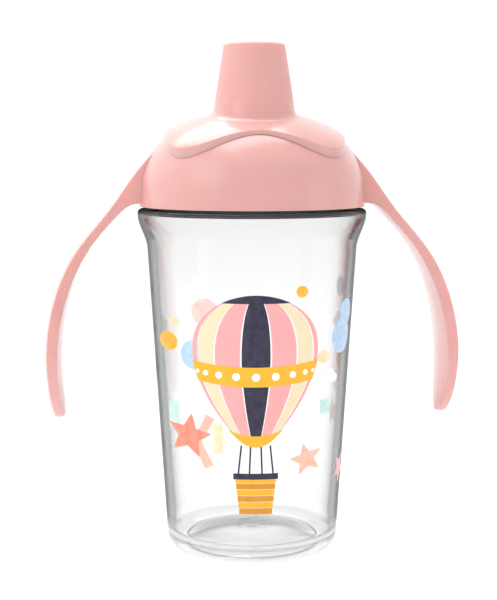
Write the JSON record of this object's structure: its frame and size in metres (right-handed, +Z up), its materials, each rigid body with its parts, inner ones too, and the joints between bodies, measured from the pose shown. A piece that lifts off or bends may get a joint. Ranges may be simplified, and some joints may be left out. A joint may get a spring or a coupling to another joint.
{
  "type": "sippy cup",
  "caption": "Toddler training cup: clear tapered beaker, pink screw lid with two drooping handles, and a lobed spout plate with silicone valves.",
  "frame": {"origin": "centre of the flat ring the cup stands on", "axes": "+Z up, handles along X, spout set towards -Y"},
  "size_m": [0.134, 0.074, 0.1625],
  "materials": {
    "clear_cup": "clear, polished",
    "pink_gloss": "glossy moulded plastic",
    "silicone": "translucent white silicone, satin"
  },
  "bodies": {
    "cup": {"cup_body": "clear_cup"},
    "seal": {"lid_gasket": "silicone"},
    "lid": {"lid_shell": "pink_gloss", "handle_left": "pink_gloss", "handle_right": "pink_gloss"},
    "spout": {"spout_hood": "pink_gloss", "vent_valve": "silicone"},
    "valve": {"spout_valve": "silicone"}
  },
  "joints": [
    {"name": "seal_lift", "type": "slide", "parent": "cup", "child": "seal", "axis": [0, 0, 1], "range_m": [0, 0.0101]},
    {"name": "lid_turn", "type": "hinge", "parent": "seal", "child": "lid", "pos_m": [0, 0, 0.1226], "axis": [0, 0, 1], "range_deg": [0, 450]},
    {"name": "spout_lift", "type": "slide", "parent": "lid", "child": "spout", "axis": [0, 0, 1], "range_m": [0, 0.012]},
    {"name": "valve_pull", "type": "slide", "parent": "spout", "child": "valve", "axis": [0, 0, -1], "range_m": [0, 0.008]}
  ],
  "couplings": [
    {"joint": "seal_lift", "follows": "lid_turn", "m_per_rad": 0.0012732}
  ]
}
